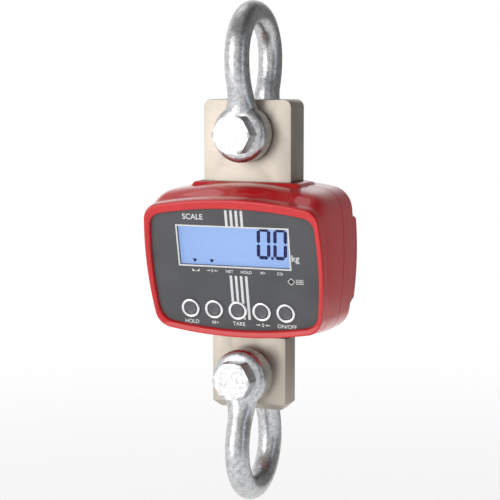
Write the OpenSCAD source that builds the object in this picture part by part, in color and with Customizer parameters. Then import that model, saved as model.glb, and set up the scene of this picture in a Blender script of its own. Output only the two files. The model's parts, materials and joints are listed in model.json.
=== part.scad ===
// Hanging crane scale: a steel load cell between two bow shackles, with a display casing round it.
// Origin: inside of the top bow's crown, where the crane hook bears. +Z up, the display faces -Y.

/* [Shackles] */
// Diameter of the forged bow bar
bow_d = 19; // [17:0.5:20]
// Diameter of the shackle bolts
bolt_d = 20; // [18:0.5:21]
// Clear width between the two eyes
jaw_w = 32; // [31:0.5:34]
// Outside diameter of an eye
eye_d = 44; // [40:1:46]
// Thickness of an eye
eye_w = 19; // [18:0.5:20]
// Clear width inside the bow at its widest
bow_inner_w = 51; // [48:1:56]
// Bolt axis to the inside of the crown
bow_reach = 83; // [78:1:90]
// Width across the flats of bolt heads and nuts
hex_af = 28; // [27:0.5:30]

/* [Load cell] */
// Distance between the two bolt axes
pin_spacing = 188; // [186:1:190]
// Width of the upper eye plate
upper_w = 72; // [68:1:73]
// Thickness of the upper eye plate
upper_t = 28.6; // [27:0.2:29]
// Width of the lower eye plate
lower_w = 61; // [56:1:62]
// Thickness of the lower eye plate
lower_t = 21.8; // [20:0.2:22]
// Upper bolt axis to the top edge of the plate
upper_edge = 26; // [24:1:28]
// Lower bolt axis to the bottom edge of the plate
lower_edge = 28; // [26:1:29]

/* [Casing] */
// Lean of the front panel, top edge forwards
tilt = 12; // [10:0.5:13]
// Half of the casing's width
case_hw = 72.8; // [71:0.2:74]
// Wall thickness of the two shells
wall = 3; // [2.5:0.25:3.5]
// Distance from the load line back to the casing's rear face
back_y = 33.5; // [33:0.5:35]
// Rear face of the battery cover
cover_y = 42; // [41:0.5:43]

/* [Front panel] */
// Width of the printed display frame
lcd_w = 92.4; // [88:0.2:94]
// Height of the printed display frame
lcd_h = 33.2; // [31:0.2:34]
// Distance between button centres
button_pitch = 19.7; // [18:0.1:20]
// Outside diameter of a button's metal ring
ring_d = 15.5; // [14:0.5:16]
// Diameter of a button
button_d = 10.2; // [9:0.2:10.4]

/* [Hidden] */
$fn = 64;
e = 0.01;

// Heights of the two bolt axes
top_pin_z = -bow_reach;
bottom_pin_z = top_pin_z - pin_spacing;
running = 0.08;
steel = [0.62, 0.64, 0.66];
nickel = [0.80, 0.77, 0.71];
red = [0.78, 0.10, 0.12];
grey = [0.37, 0.38, 0.38];
rubber = [0.12, 0.12, 0.12];
board_green = [0.10, 0.35, 0.20];

// Bow bar: crown, two arcs down each leg, and the eye
bar_r = bow_d / 2;
crown_r = bow_inner_w / 2 + bar_r;
crown_h = bow_reach + bar_r - crown_r;
leg_y = jaw_w / 2 + eye_w / 2;
neck_h = 14;
bar_sides = 24;
leg_dy = (crown_r - leg_y) / 2;
leg_dh = (crown_h - neck_h) / 2;
leg_turn = 2 * atan(leg_dy / leg_dh);
leg_r = leg_dh / sin(leg_turn);
eye_round = 4;
head_h = 12.5;
nut_h = 16;
bolt_end = jaw_w / 2 + eye_w + nut_h + 7;
split_pin_d = 3.6;
split_pin_y = bolt_end - 4.5;

// Load cell: heights of its steps, from the top edge down
cell_top = top_pin_z + upper_edge;
cell_bottom = bottom_pin_z - lower_edge;
waist_top = -136;
waist_bottom = -216;
waist_w = 50;
pocket_z = (waist_top + waist_bottom) / 2;
pocket_r = 15;
pocket_depth = 6;
plate_corner = 6;
plate_chamfer = 5;

// Sheet bracket: its screws into the load cell, and its screws into the front shell
bracket_t = 2;
bracket_z = waist_bottom - 10;
bracket_cell_x = 16;
bracket_case_x = 50;
bracket_screw_r = 2;
small_screw_r = 1.65;

// Front panel plane: the display's centre, with local z outwards
panel_y = -43.5;
panel_z = -168;
panel_t = 2;
bezel_back = -5;
bezel_crest = 4.5;
lip_t = 3;
lip_in = 9;
button_v = -50.8;
board_w = -14.6;
board_t = 1.6;
infrared_at = [45.4, -25.4];

// Split plane between the two shells, and the raised collar round the load cell
split_y = 4;
collar_hw = 45;
collar_front = -20;
collar_back = 19;
collar_z = -119.5;
seal_t = 2.4;
seal_h = 7;
floor_z = -242;
boss_at = [[60.8, -134.4], [59.2, -227.6]];
boss_r = 5;

// Battery cover's edges
cover_top = -141;
cover_bottom = -222.6;
plateau_y = back_y + 0.5;
cover_base = plateau_y + 0.8;
cell_d = 14.2;
cell_l = 49.5;
cell_y = 27;
cell_x = 27;
cover_screw_x = 63;
cover_mid = -181;
cell_z = [cover_mid + 8.5, cover_mid - 8.5];

// ---- outlines: four flat arcs joined by round corners ----

// Outline numbers: half width, top, bottom, height of the widest point, corner radii at top and bottom
rim = [72.6, 38.6, -72.2, -8, 12.5, 14];
opening = [67.9, 30.3, -66.8, -12, 9.5, 13];
body = [case_hw, collar_z - 0.2, floor_z, -175, 19, 19];
plateau = [case_hw - 0.25, cover_top, cover_bottom, -175, 3, 3];
cover = [case_hw - 0.6, cover_top, cover_bottom, -175, 3, 3];
side_r = 300;
flat_r = 320;

// The same outline moved inwards by d
function inset(o, d) = [o[0] - d, o[1] - d, o[2] + d, o[3], max(o[4] - d, 1), max(o[5] - d, 1)];

// Where two circles meet, on the side of larger x
function meet(a, ra, b, rb) =
    let (d = norm(b - a), u = (b - a) / d, m = (ra * ra - rb * rb + d * d) / (2 * d),
         h = sqrt(ra * ra - m * m), n = [-u[1], u[0]], p = a + m * u + h * n, q = a + m * u - h * n)
    p[0] > q[0] ? p : q;

function arc(c, r, from, to, steps) = [for (i = [0:steps]) c + r * [cos(from + (to - from) * i / steps),
                                                                 sin(from + (to - from) * i / steps)]];

// A quarter of an outline, from its widest point up to its top
function quarter(hw, top, mid, corner, d) =
    let (s = [hw + d - side_r, mid], t = [0, top + d - flat_r], rs = side_r - d, rt = flat_r - d,
         k = meet(t, rt - corner, s, rs - corner),
         a = atan2(k[1] - s[1], k[0] - s[0]), b = atan2(k[1] - t[1], k[0] - t[0]))
    concat(arc(s, rs, 0, a, 3), arc(k, corner, a, b, 6), arc(t, rt, b, 90, 4));

function flip_x(points) = [for (i = [len(points) - 2:-1:0]) [-points[i][0], points[i][1]]];

// A whole outline, anticlockwise from its widest point on the right; d is how far it was moved inwards
function outline(o, d = 0) =
    let (q = inset(o, d), up = quarter(q[0], q[1], q[3], q[4], d),
         low = [for (p = quarter(q[0], -q[2], -q[3], q[5], d)) [p[0], -p[1]]],
         left = [for (i = [1:len(low) - 1]) [-low[i][0], low[i][1]]],
         right = [for (i = [len(low) - 2:-1:1]) low[i]])
    concat(up, flip_x(up), left, right);

function mix(a, b, t) = [for (i = [0:len(a) - 1]) a[i] * (1 - t) + b[i] * t];

// ---- rings of points in space, and the skin through them ----

// A ring in a plane that leans by lean, through the point (0, y, z); w moves it out along the plane's normal
function leaning(points, y, z, lean, w = 0) =
    [for (p = points) [p[0], y - p[1] * sin(lean) - w * cos(lean), z + p[1] * cos(lean) - w * sin(lean)]];
function on_panel(points, w) = leaning(points, panel_y, panel_z, tilt, w);
function upright(points, y) = [for (p = points) [p[0], y, p[1]]];

// The closed skin through a row of rings, each wound the same way. With loop, the last ring joins the first.
module skin(rings, loop = false) {
    n = len(rings[0]);
    count = len(rings);
    last = loop ? count - 1 : count - 2;
    sides = [for (k = [0:last], i = [0:n - 1])
        let (a = k * n, b = (k + 1) % count * n, j = (i + 1) % n)
        each [[a + i, b + i, b + j], [a + i, b + j, a + j]]];
    caps = loop ? [] : [[for (i = [0:n - 1]) i], [for (i = [n - 1:-1:0]) (count - 1) * n + i]];
    polyhedron([for (r = rings) each r], concat(sides, caps));
}

module panel_frame(w = 0) {
    translate([0, panel_y, panel_z]) rotate([90 + tilt, 0, 0]) translate([0, 0, w]) children();
}

// A cylinder along Y, from y0 to y1
module along_y(r, y0, y1, x = 0, z = 0) {
    translate([x, y0, z]) rotate([-90, 0, 0]) cylinder(h = y1 - y0, r = r);
}

module box(x, y, z) {
    translate([x[0], y[0], z[0]]) cube([x[1] - x[0], y[1] - y[0], z[1] - z[0]]);
}

// ---- shackles, built round a bolt axis along Y with the crown above it ----

// Half of the bow's centre line as [y, z, half width across the plane of the bow], from the eye to the crown
bow_line = concat(
    [[leg_y, 8, 17], [leg_y, neck_h, 14.5]],
    [for (i = [1:5]) let (t = leg_turn * i / 6)
        [leg_y + leg_r * (1 - cos(t)), neck_h + leg_r * sin(t), bar_r + 4 * pow(1 - i / 5, 2)]],
    [for (i = [0:5]) let (t = leg_turn * (1 - i / 6))
        [crown_r - leg_r * (1 - cos(t)), crown_h - leg_r * sin(t), bar_r]],
    [for (i = [0:10]) [crown_r * cos(9 * i), crown_h + crown_r * sin(9 * i), bar_r]]);

// The bar as a row of oval rings along that line and down the other leg
module bow_bar() {
    n = len(bow_line);
    line = concat(bow_line, [for (i = [n - 2:-1:0]) [-bow_line[i][0], bow_line[i][1], bow_line[i][2]]]);
    last = len(line) - 1;
    skin([for (i = [0:last])
        let (
            p = line[i],
            d = line[min(i + 1, last)] - line[max(i - 1, 0)],
            way = [d[0], d[1]] / norm([d[0], d[1]]),
            half = i == 0 || i == last ? bar_r - 0.3 : bar_r
        )
        [for (k = [0:bar_sides - 1]) let (a = 360 * k / bar_sides, out = half * cos(a))
            [-p[2] * sin(a), p[0] + out * way[1], p[1] - out * way[0]]]]);
}

// Round eye with softened outer edges, revolved about the bolt axis
module eye(side) {
    y0 = jaw_w / 2;
    r = eye_d / 2;
    far = arc([r - eye_round, y0 + eye_w - eye_round], eye_round, 0, 90, 5);
    near = arc([r - 2, y0 + 2], 2, -90, 0, 4);
    mirror([0, side > 0 ? 0 : 1, 0])
        rotate([-90, 0, 0]) rotate_extrude()
            polygon(concat([[0, y0]], near, far, [[0, y0 + eye_w]]));
}

module bow() {
    color(steel) difference() {
        union() {
            bow_bar();
            eye(1);
            eye(-1);
        }
        along_y(bolt_d / 2 + running, -60, 60);
        box([-30, 30], [-jaw_w / 2, jaw_w / 2], [-30, 30]);
    }
}

// Hexagonal prism along Y with its corners turned off at one end
module hex_block(y0, y1, bore = 0, crown_at = -1) {
    af = hex_af;
    crown = 2;
    h = y1 - y0;
    narrow = af / 2 - 0.4;
    wide = af / 2 + 3;
    difference() {
        intersection() {
            translate([0, y0, 0]) rotate([-90, 0, 0]) cylinder(h = h, r = af / sqrt(3), $fn = 6);
            translate([0, y0, 0]) rotate([-90, 0, 0]) rotate_extrude()
                polygon(crown_at < 0
                    ? [[0, 0], [narrow, 0], [wide, crown], [wide, h], [0, h]]
                    : [[0, 0], [wide, 0], [wide, h - crown], [narrow, h], [0, h]]);
        }
        if (bore > 0) along_y(bore, y0 - 1, y1 + 1);
    }
}

module bolt() {
    outer = jaw_w / 2 + eye_w;
    color(steel) difference() {
        union() {
            hex_block(-outer - head_h - 0.2, -outer - 0.2);
            along_y(bolt_d / 2, -outer - 1, bolt_end - 1);
            along_y(bolt_d / 2 - 1, bolt_end - 1.5, bolt_end);
        }
        translate([0, split_pin_y, 0]) cylinder(h = 40, d = split_pin_d + 0.6, center = true);
    }
}

module nut() {
    outer = jaw_w / 2 + eye_w;
    color(steel) hex_block(outer + 0.2, outer + nut_h - 1, bolt_d / 2 + 0.05, 1);
}

// Split pin through the bolt: a wire loop, a shank, and two legs bent apart
module split_pin() {
    r = split_pin_d / 2;
    loop_r = 4;
    reach = bolt_d / 2 + 3;
    color(steel) translate([0, split_pin_y, 0]) {
        translate([0, 0, reach + loop_r]) rotate([0, 90, 0]) rotate_extrude()
            translate([loop_r, 0]) circle(r = 1);
        translate([0, 0, -reach]) cylinder(h = 2 * reach + 0.6, r = r);
        for (lean = [-50, 50])
            translate([0, 0, -reach + 0.6]) rotate([lean, 0, 0])
                translate([0, 0, -9]) cylinder(h = 9.6, r = 0.9);
    }
}

module at_top_pin() { translate([0, 0, top_pin_z]) children(); }
module at_bottom_pin() { translate([0, 0, bottom_pin_z]) mirror([0, 0, 1]) children(); }

// Two washers on each side fill the gap beside the thinner lower plate
module bottom_washers() {
    washer_t = 2.3;
    first = lower_t / 2 + 0.2;
    color(steel) at_bottom_pin() for (side = [0, 1], k = [0, 1]) mirror([0, side, 0]) difference() {
        along_y(eye_d / 2 - 2, first + k * (washer_t + 0.1), first + k * (washer_t + 0.1) + washer_t);
        along_y(bolt_d / 2 + running, 0, 30);
    }
}

// ---- load cell ----

module upper_block() {
    rotate([90, 0, 0]) linear_extrude(height = upper_t, center = true) difference() {
        translate([-upper_w / 2, waist_top]) square([upper_w, cell_top - waist_top]);
        for (s = [-1, 1]) translate([s * upper_w / 2, cell_top]) difference() {
            square(2 * plate_corner, center = true);
            translate([-s * plate_corner, -plate_corner]) circle(r = plate_corner);
        }
    }
}

// Lower block with a chamfer round its bottom end
module lower_block() {
    side = plate_chamfer * sqrt(2);
    difference() {
        box([-lower_w / 2, lower_w / 2], [-lower_t / 2, lower_t / 2], [cell_bottom, waist_bottom + 1]);
        for (s = [-1, 1]) {
            translate([s * lower_w / 2, 0, cell_bottom]) rotate([0, 45, 0])
                cube([side, 2 * lower_w, side], center = true);
            translate([0, s * lower_t / 2, cell_bottom]) rotate([45, 0, 0])
                cube([2 * lower_w, side, side], center = true);
        }
    }
}

module load_cell() {
    color(nickel) difference() {
        union() {
            upper_block();
            box([-waist_w / 2, waist_w / 2], [-lower_t / 2, lower_t / 2], [waist_bottom, waist_top + 1]);
            lower_block();
        }
        along_y(bolt_d / 2 + running, -30, 30, 0, top_pin_z);
        along_y(bolt_d / 2 + running, -30, 30, 0, bottom_pin_z);
        for (face = [-lower_t / 2, lower_t / 2])
            along_y(pocket_r, face - pocket_depth, face + pocket_depth, 0, pocket_z);
        for (s = [-1, 1])
            along_y(bracket_screw_r + 0.05, -lower_t / 2 - 1, -lower_t / 2 + 9, s * bracket_cell_x, bracket_z);
    }
}

// Thin lids that close the two gauge pockets
module gauge_covers() {
    color(steel) for (s = [-1, 1]) mirror([0, s < 0 ? 1 : 0, 0]) difference() {
        along_y(pocket_r - 0.1, lower_t / 2 - 1.2, lower_t / 2 - 0.2, 0, pocket_z);
        if (s < 0) translate([-6, 0, pocket_z + 5]) cube([12, 30, 2.4]);
    }
}

// Foil strain gauges on the floor of each pocket
module strain_gauges() {
    floor_y = lower_t / 2 - pocket_depth;
    color("goldenrod") for (s = [0, 1], x = [-6, 6]) mirror([0, s, 0])
        translate([x, floor_y + 0.1, pocket_z]) rotate([0, x > 0 ? 45 : -45, 0])
            cube([5, 0.2, 9], center = true);
}

// Rubber frame between the load cell and an opening in the casing
module cell_seal(w, t, z0, z1) {
    color(rubber) difference() {
        box([-w / 2 - seal_t, w / 2 + seal_t], [-t / 2 - seal_t, t / 2 + seal_t], [z0, z1]);
        box([-w / 2 - 0.1, w / 2 + 0.1], [-t / 2 - 0.1, t / 2 + 0.1], [z0 - 1, z1 + 1]);
    }
}

// ---- casing ----

front_lean = 7;
front_mid_y = -22;
front_mid_z = -178;
front_mid = [72.8, 56.6, -62.5, 3, 16, 16];

module shell_opening(w, t, z0, z1) {
    g = seal_t + 0.1;
    box([-w / 2 - g, w / 2 + g], [-t / 2 - g, t / 2 + g], [z0, z1]);
}

// Flat-topped block round the load cell with sloping ends, between two depths
module collar(y0, y1) {
    translate([0, y1, 0]) rotate([90, 0, 0]) linear_extrude(height = y1 - y0) polygon([
        [-collar_hw - 2.5, collar_z - 10], [collar_hw + 2.5, collar_z - 10],
        [collar_hw, collar_z - 3.5], [collar_hw - 2, collar_z],
        [2 - collar_hw, collar_z], [-collar_hw, collar_z - 3.5]]);
}

// Casing screw pillars, between two depths
module bosses(y0, y1) {
    for (s = [-1, 1], p = boss_at) along_y(boss_r, y0, y1, s * p[0], p[1]);
}

module front_shell() {
    color(red) difference() {
        union() {
            skin([
                on_panel(outline(rim, lip_in), bezel_back),
                on_panel(outline(rim, lip_in), bezel_back - lip_t),
                on_panel(outline(rim, wall + 0.4), bezel_back - lip_t),
                leaning(outline(front_mid, wall), front_mid_y, front_mid_z, front_lean),
                upright(outline(body, wall), split_y),
                upright(outline(body), split_y),
                leaning(outline(front_mid), front_mid_y, front_mid_z, front_lean),
                on_panel(outline(rim, 0.4), bezel_back)
            ], true);
            collar(collar_front, split_y);
            box([-38, 38], [-17, split_y], [floor_z + 1, floor_z + 8]);
            for (s = [-1, 1]) box([s * 50 - 5, s * 50 + 5], [-22, -lower_t / 2 - 2.1], [-233, -221]);
            bosses(-9, split_y);
        }
        shell_opening(upper_w, upper_t, collar_z - 20, collar_z + 5);
        shell_opening(lower_w, lower_t, floor_z - 5, floor_z + 20);
        for (s = [-1, 1], p = boss_at) along_y(1.7, -7, split_y + 1, s * p[0], p[1]);
        for (s = [-1, 1]) along_y(small_screw_r + 0.05, -22, 0, s * bracket_case_x, bracket_z);
    }
}

module rear_shell() {
    in = wall;
    color(red) difference() {
        union() {
            skin([
                upright(outline(body, 5), back_y),
                upright(outline(body, 2.5), back_y - 0.7),
                upright(outline(body, 0.8), back_y - 2.4),
                upright(outline(body), back_y - 5),
                upright(outline(body), split_y + 0.8),
                upright(outline(body, in), split_y + 0.8),
                upright(outline(body, in), back_y - 5),
                upright(outline(body, in + 2), back_y - in)
            ]);
            skin([
                upright(outline(plateau), plateau_y),
                upright(outline(plateau, 0.1), back_y - 14),
                upright(outline(plateau, 5), back_y - 14),
                upright(outline(plateau, 5), plateau_y)
            ], true);
            collar(split_y + 0.8, collar_back);
            box([-38, 38], [split_y + 0.8, 17], [floor_z + 1, floor_z + 8]);
            bosses(split_y + 0.8, back_y - 2);
            for (s = [-1, 1]) along_y(4.5, back_y - 11, back_y - 1, s * cover_screw_x, cover_mid);
        }
        shell_opening(upper_w, upper_t, collar_z - 20, collar_z + 5);
        shell_opening(lower_w, lower_t, floor_z - 5, floor_z + 20);
        box([-57, 57], [back_y - 8, back_y + 5], [cover_mid - 19.5, cover_mid + 19.5]);
        for (s = [-1, 1], p = boss_at) {
            along_y(2.2, 0, back_y + 5, s * p[0], p[1]);
            along_y(4, back_y - 5, back_y + 5, s * p[0], p[1]);
        }
        for (s = [-1, 1]) along_y(2.05, back_y - 10, back_y + 5, s * cover_screw_x, cover_mid);
    }
}

// Flat cord seal between the two shells, left out where the load cell passes
module shell_seal() {
    color(rubber) difference() {
        skin([
            upright(outline(body, 2.6), split_y),
            upright(outline(body, 2.6), split_y + 0.8),
            upright(outline(body, 0.8), split_y + 0.8),
            upright(outline(body, 0.8), split_y)
        ], true);
        box([-collar_hw, collar_hw], [0, 10], [collar_z - 12, collar_z + 5]);
        box([-38, 38], [0, 10], [floor_z - 5, floor_z + 8]);
    }
}

// Socket cap screw along Y with its head towards +Y; the head's face is at y1
module cap_screw(x, z, y0, y1, r, head_r, head_l) {
    difference() {
        union() {
            along_y(r, y0, y1 - head_l + e, x, z);
            along_y(head_r, y1 - head_l, y1, x, z);
        }
        translate([x, y1 - head_l * 0.6, z]) rotate([-90, 0, 0])
            cylinder(h = head_l, r = head_r * 0.55, $fn = 6);
    }
}

module casing_screws() {
    color(steel) for (s = [-1, 1], p = boss_at)
        cap_screw(s * p[0], p[1], -6.5, back_y - 1, small_screw_r, 3.6, 4);
}

// Sheet bracket that carries the casing on the load cell's lower end
module mounting_bracket() {
    y1 = -lower_t / 2;
    color(steel) difference() {
        union() {
            box([-55, 55], [y1 - bracket_t, y1], [bracket_z - 6, bracket_z + 7]);
            box([-24, 24], [y1 - bracket_t, y1], [bracket_z - 8, bracket_z + 9]);
        }
        for (s = [-1, 1]) {
            along_y(bracket_screw_r + 0.2, y1 - 5, y1 + 5, s * bracket_cell_x, bracket_z);
            along_y(small_screw_r + 0.25, y1 - 5, y1 + 5, s * bracket_case_x, bracket_z);
        }
    }
}

module bracket_screws() {
    front = -lower_t / 2 - bracket_t;
    color(steel) {
        for (s = [-1, 1]) mirror([0, 1, 0])
            cap_screw(s * bracket_cell_x, bracket_z, -front - 9, -front + 2.4, bracket_screw_r, 3.4, 2.4);
        for (s = [-1, 1])
            cap_screw(s * bracket_case_x, bracket_z, -20, -lower_t / 2 + 2.4, small_screw_r, 3.2, 2.4);
    }
}

// ---- front panel, in the leaning frame ----

module front_bezel() {
    a = outline(rim);
    b = outline(opening);
    crest = bezel_crest;
    color(red) skin([
        on_panel(a, bezel_back),
        on_panel(a, 0.6),
        on_panel(mix(a, b, 0.10), crest - 1.6),
        on_panel(mix(a, b, 0.28), crest - 0.5),
        on_panel(mix(a, b, 0.52), crest),
        on_panel(mix(a, b, 0.76), crest - 0.4),
        on_panel(mix(a, b, 0.93), crest - 1.4),
        on_panel(b, crest - 2.8),
        on_panel(b, 0),
        on_panel(mix(a, b, 0.56), 0),
        on_panel(mix(a, b, 0.56), bezel_back)
    ], true);
}

function button_x(k) = (k - 2) * button_pitch;

module front_panel() {
    color(grey) difference() {
        panel_frame(-panel_t) linear_extrude(height = panel_t)
            polygon(mix(outline(rim), outline(opening), 0.62));
        panel_frame() {
            translate([0, 0, -panel_t / 2]) cube([lcd_w - 2.4, lcd_h - 2.4, 2 * panel_t], center = true);
            for (k = [0:4]) translate([button_x(k), button_v, -5]) cylinder(h = 10, d = ring_d - 2);
            translate([infrared_at[0], infrared_at[1], -5]) cylinder(h = 10, r = 1.7);
        }
    }
}

module panel_seal() {
    a = outline(rim);
    b = outline(opening);
    color(rubber) skin([
        on_panel(mix(a, b, 0.64), bezel_back),
        on_panel(mix(a, b, 0.64), -panel_t),
        on_panel(mix(a, b, 1.15), -panel_t),
        on_panel(mix(a, b, 1.15), bezel_back)
    ], true);
}

module display_window() {
    color([0.9, 0.95, 1, 0.3]) panel_frame(-panel_t - 1.5) translate([0, 0, 0.75])
        cube([lcd_w + 3, lcd_h + 3, 1.5], center = true);
}

module display_glass() {
    color([0.62, 0.75, 0.93]) panel_frame(-panel_t - 4.3) translate([0, 0, 1.35])
        cube([lcd_w + 3.6, lcd_h + 3.6, 2.7], center = true);
}

// Moulded holder behind the glass: light guide with a raised edge
module display_backlight() {
    color("white") panel_frame(-11.6) difference() {
        translate([0, 0, 3.2]) cube([lcd_w + 7, lcd_h + 7, 6.4], center = true);
        translate([0, 0, 7.2]) cube([lcd_w + 4.2, lcd_h + 4.2, 4], center = true);
    }
}

board_holes = [[-56, 17], [56, 17], [-56, -52], [56, -52]];

module main_board() {
    color(board_green) panel_frame(board_w) difference() {
        translate([-60, -56, 0]) cube([120, 78, board_t]);
        for (p = board_holes) translate([p[0], p[1], -1]) cylinder(h = 4, r = 1.7);
    }
}

// Each chip or connector: place across and up the board, width, height, thickness
chips = [
    [-20, -10, 12, 12, 1.4], [14, -12, 10, 8, 1.6], [0, 5, 16, 6, 3],
    [-42, 6, 8, 5, 2], [40, 4, 6, 9, 2]
];

// Processor, converter, connectors and buzzer on the back of the board
module board_parts() {
    color(rubber) panel_frame(board_w) {
        for (p = chips)
            translate([p[0], p[1], -p[4] / 2]) cube([p[2], p[3], p[4]], center = true);
        translate([48, -30, -4]) cube([9, 14, 4]);
        translate([-44, -30, -4.5]) cylinder(h = 4.5, r = 5);
    }
}

module board_standoffs() {
    color(steel) panel_frame(board_w + board_t) for (p = board_holes)
        translate([p[0], p[1], 0]) difference() {
            cylinder(h = -board_w - board_t - panel_t, r = 2.9, $fn = 6);
            translate([0, 0, -1]) cylinder(h = 7, r = 1.25);
        }
}

module board_screws() {
    color(steel) panel_frame(board_w) for (p = board_holes) translate([p[0], p[1], 0]) {
        translate([0, 0, -1.8]) cylinder(h = 1.8, r = 2.8);
        translate([0, 0, -0.5]) cylinder(h = 6.5, r = 1.2);
    }
}

// Five push switches on the front of the board
module key_switches() {
    color(rubber) panel_frame(board_w + board_t) for (k = [0:4]) translate([button_x(k), button_v, 0]) {
        translate([0, 0, 1.75]) cube([6, 6, 3.5], center = true);
        cylinder(h = 4.15, r = 1.7);
    }
}

module infrared_window() {
    color(rubber) panel_frame() translate([infrared_at[0], infrared_at[1], -4]) {
        cylinder(h = 4.3, r = 1.6);
        cylinder(h = 1.9, r = 2.6);
    }
}

// Turned metal rings, pressed into the panel
module button_rings() {
    inner = button_d / 2 + 0.25;
    outer = ring_d / 2;
    sleeve = outer - 1.05;
    section = concat(
        [[inner, -4], [sleeve, -4], [sleeve, 0], [outer, 0], [outer, 0.5]],
        arc([outer - 1.4, 0.4], 1.4, 20, 90, 4),
        [[inner + 0.9, 1.5], [inner, 0.5]]);
    color("silver") panel_frame() for (k = [0:4]) translate([button_x(k), button_v, 0])
        rotate_extrude() polygon(section);
}

// One button: a shallow dished cap on a stem that meets its switch
module button(k) {
    r = button_d / 2;
    stem_end = board_w + board_t + 5.1;
    color(grey) panel_frame() translate([button_x(k), button_v, 0]) rotate_extrude() polygon([
        [0, stem_end], [2, stem_end], [2, -5.4], [r + 1.1, -5.4], [r + 1.1, -4.4], [r, -4.4],
        [r, 0.9], [r - 0.5, 1.3], [r - 1.3, 1.25], [0, 1.0]]);
}

// ---- wiring and batteries ----

// A round tube of eight sides along points, as one solid
module lead(points, r) {
    n = len(points);
    function way(i) = let (d = points[min(i + 1, n - 1)] - points[max(i - 1, 0)]) d / norm(d);
    rings = [for (i = [0:n - 1])
        let (
            t = way(i),
            ref = abs(t[0]) > 0.8 ? [0, 0, 1] : [1, 0, 0],
            u = cross(t, ref) / norm(cross(t, ref)),
            v = cross(t, u)
        )
        [for (k = [0:7]) points[i] + r * (cos(k * 45) * u + sin(k * 45) * v)]];
    skin(rings);
}

// Two leads from the battery tray forward past the load cell to the board
module battery_leads() {
    for (k = [0, 1]) color(k == 0 ? "firebrick" : "black") translate([0, 0.5 * k, -2.4 * k]) lead([
        [56.8, 19, -178], [59, 18, -178.2], [61.3, 14, -178.6], [62, 8, -179.5], [62, 0, -181],
        [61, -7, -183.5], [58.5, -13, -186], [55.5, -17, -187.5], [52.5, -19.6, -188]], 0.9);
}

// Flat cable from the front gauge pocket to the board: one bent strip, 10 wide
module gauge_ribbon() {
    y0 = -lower_t / 2 + 1.8;
    top = pocket_z + 6.2;
    path = [[0, 0], [-4, 0], [-7, 2], [-9.5, 5.6], [-12, 8.9], [-14.5, 10.2], [-18, 10.3]];
    line = [for (p = path) p + [y0, 0]];
    color("tan") translate([-5, 0, top]) rotate([90, 0, 90]) linear_extrude(height = 10)
        polygon(concat([for (p = line) p], [for (i = [len(line) - 1:-1:0]) line[i] + [0, -0.8]]));
}

tray_x = 56.5;
tray_z = [cover_mid - 19, cover_mid + 19];

// Open box for four cells, with a rib between the rows
module battery_tray() {
    color(rubber) difference() {
        box([-tray_x, tray_x], [18.5, back_y], tray_z);
        box([-tray_x + 2, tray_x - 2], [19.9, back_y + 5], [tray_z[0] + 2, tray_z[1] - 2]);
    }
    color(rubber) box([-tray_x + 1.9, tray_x - 1.9], [19.8, 24], [cover_mid - 0.7, cover_mid + 0.7]);
}

// Spring and plate contacts at the ends of each row
module battery_contacts() {
    color("silver") for (z = cell_z, s = [-1, 1]) {
        box([s > 0 ? 53.4 : -54.3, s > 0 ? 54.3 : -53.4], [20.5, 30], [z - 5, z + 5]);
        translate([s * 53.5, cell_y, z]) rotate([0, -90 * s, 0]) cylinder(h = 1, r1 = 4.5, r2 = 3);
    }
}

module batteries() {
    color("dimgray") for (z = cell_z, x = [-cell_x + 1.2, cell_x - 1.2])
        translate([x, cell_y, z]) rotate([0, 90, 0]) {
            translate([0, 0, -cell_l / 2]) cylinder(h = cell_l, d = cell_d);
            translate([0, 0, cell_l / 2 - e]) cylinder(h = 1, r = 2.7);
        }
}

module battery_cover() {
    color(red) difference() {
        union() {
            skin([
                upright(outline(cover, 4.5), cover_y),
                upright(outline(cover, 2.1), cover_y - 0.6),
                upright(outline(cover, 0.6), cover_y - 2.1),
                upright(outline(cover), cover_y - 4.5),
                upright(outline(cover), cover_base),
                upright(outline(cover, 2.5), cover_base),
                upright(outline(cover, 2.5), cover_y - 4),
                upright(outline(cover, 4), cover_y - 2.5)
            ]);
            for (s = [-1, 1]) along_y(4.2, cover_base + 0.1, cover_y - 1, s * cover_screw_x, cover_mid);
        }
        for (s = [-1, 1]) {
            along_y(2.3, back_y, cover_y + 5, s * cover_screw_x, cover_mid);
            along_y(3.8, cover_y - 3.4, cover_y + 5, s * cover_screw_x, cover_mid);
        }
    }
}

module battery_cover_seal() {
    color(rubber) skin([
        upright(outline(cover, 2.3), plateau_y),
        upright(outline(cover, 2.3), cover_base),
        upright(outline(cover, 0.5), cover_base),
        upright(outline(cover, 0.5), plateau_y)
    ], true);
}

module battery_cover_screws() {
    color(steel) for (s = [-1, 1]) difference() {
        union() {
            along_y(1.95, back_y - 8, cover_y, s * cover_screw_x, cover_mid);
            along_y(3.6, cover_y - 3.3, cover_y + 0.4, s * cover_screw_x, cover_mid);
        }
        translate([s * cover_screw_x, cover_y + 0.5, cover_mid]) cube([8, 3, 1.2], center = true);
    }
}

at_top_pin() bow();  // top_bow
at_top_pin() bolt();  // top_bolt
at_top_pin() nut();  // top_nut
at_top_pin() split_pin();  // top_split_pin
load_cell();
gauge_covers();
strain_gauges();
cell_seal(upper_w, upper_t, collar_z - seal_h, collar_z - 0.5);  // top_seal
cell_seal(lower_w, lower_t, floor_z + 1, floor_z + seal_h);  // bottom_seal
front_shell();
rear_shell();
shell_seal();
casing_screws();
mounting_bracket();
bracket_screws();
front_bezel();
front_panel();
panel_seal();
display_window();
display_glass();
display_backlight();
main_board();
board_parts();
board_standoffs();
board_screws();
key_switches();
infrared_window();
button_rings();
button(0);  // hold_button
button(1);  // memory_button
button(2);  // tare_button
button(3);  // zero_button
button(4);  // power_button
gauge_ribbon();
battery_leads();
battery_tray();
battery_contacts();
batteries();
battery_cover();
battery_cover_seal();
battery_cover_screws();
at_bottom_pin() bow();  // bottom_bow
at_bottom_pin() bolt();  // bottom_bolt
at_bottom_pin() nut();  // bottom_nut
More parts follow.
